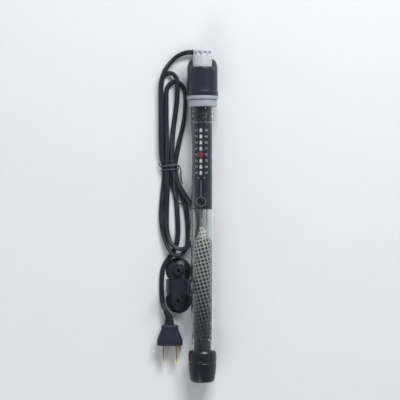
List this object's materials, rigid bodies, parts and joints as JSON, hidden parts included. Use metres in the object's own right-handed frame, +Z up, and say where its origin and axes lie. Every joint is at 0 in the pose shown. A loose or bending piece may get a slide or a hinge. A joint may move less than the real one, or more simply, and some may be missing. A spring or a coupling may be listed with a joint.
{
  "type": "submersible aquarium heater",
  "caption": "Slim glass-tube aquarium heater lying on its back, with temperature knob, scale, wound element, cord with plug, and a loose bracket with suction cups.",
  "frame": {"origin": "on the surface the heater lies on, under the middle of the box round the heater and its bracket, cord left out", "axes": "+Y along the tube towards the knob end, +Z up out of the surface and out of the scale's face, +X to the scale's right"},
  "size_m": [0.0595, 0.3241, 0.0306],
  "materials": {
    "head_cap": "moulded black plastic, satin",
    "temperature_knob": "moulded light grey plastic, satin",
    "grey_ring": "moulded blue-grey plastic, satin",
    "black_rubber": "soft black rubber",
    "clear_glass": "clear borosilicate glass, polished",
    "scale_card": "black card, printed white",
    "red_plastic": "translucent red plastic",
    "lamp_glass": "clear lamp glass",
    "steel": "bright nickel-plated steel",
    "brass": "bright brass",
    "ceramic": "fired ceramic, unglazed",
    "glass_fibre": "woven glass-fibre sleeving",
    "resistance_wire": "dark oxidised resistance wire",
    "board": "brown phenolic board",
    "cord_sheath": "black flexible cord sheath, satin",
    "end_cap": "moulded black cap, satin",
    "bracket": "moulded black plastic, satin"
  },
  "bodies": {
    "housing": {"head_cap": "head_cap", "cord_boot": "black_rubber", "clamp_ring": "grey_ring", "collar": "grey_ring", "tube_gasket": "black_rubber", "rubber_bung": "black_rubber", "spindle_o_ring": "black_rubber", "glass_tube": "clear_glass", "scale_card": "scale_card", "pilot_lens": "red_plastic", "neon_lamp": "lamp_glass", "lamp_resistor": "ceramic", "thermostat_base": "board", "screw_bearing": "brass", "bimetal_mount": "ceramic", "contact_arm": "brass", "contact_post": "ceramic", "fixed_contact": "steel", "snap_magnet": "steel", "suppressor_capacitor": "ceramic", "supply_wire_live": "cord_sheath", "supply_wire_neutral": "cord_sheath", "element_lead_long": "steel", "element_lead_short": "steel", "crimp_long": "steel", "crimp_short": "steel", "core_terminal": "ceramic", "ceramic_core": "ceramic", "heating_winding": "resistance_wire", "net_sleeve": "glass_fibre", "base_cushion": "black_rubber", "end_cap": "end_cap", "cord_lead": "cord_sheath", "cord_hank": "cord_sheath", "cord_tail": "cord_sheath", "twist_tie": "black_rubber", "plug_body": "bracket", "plug_boot": "black_rubber", "plug_blade_live": "brass", "plug_blade_neutral": "brass", "bracket": "bracket", "suction_cup_upper": "black_rubber", "suction_cup_lower": "black_rubber"},
    "knob": {"temperature_knob": "temperature_knob", "knob_spindle": "steel", "lead_screw": "brass"},
    "pointer": {"temperature_pointer": "red_plastic"},
    "bimetal": {"bimetal_strip": "brass", "moving_contact": "steel"}
  },
  "joints": [
    {"name": "knob_turn", "type": "hinge", "parent": "housing", "child": "knob", "pos_m": [0.0102, 0.15, 0.0188], "axis": [0, -1, 0], "range_deg": [-796, 1048]},
    {"name": "pointer_slide", "type": "slide", "parent": "housing", "child": "pointer", "axis": [0, 1, 0], "range_m": [-0.0177, 0.0233]},
    {"name": "bimetal_flex", "type": "hinge", "parent": "housing", "child": "bimetal", "pos_m": [0.0102, 0.084, 0.0113], "axis": [1, 0, 0], "range_deg": [-1.5, 0], "stiffness_Nm_per_rad": 0.02}
  ],
  "couplings": [
    {"joint": "pointer_slide", "follows": "knob_turn", "m_per_rad": 0.0012732}
  ]
}
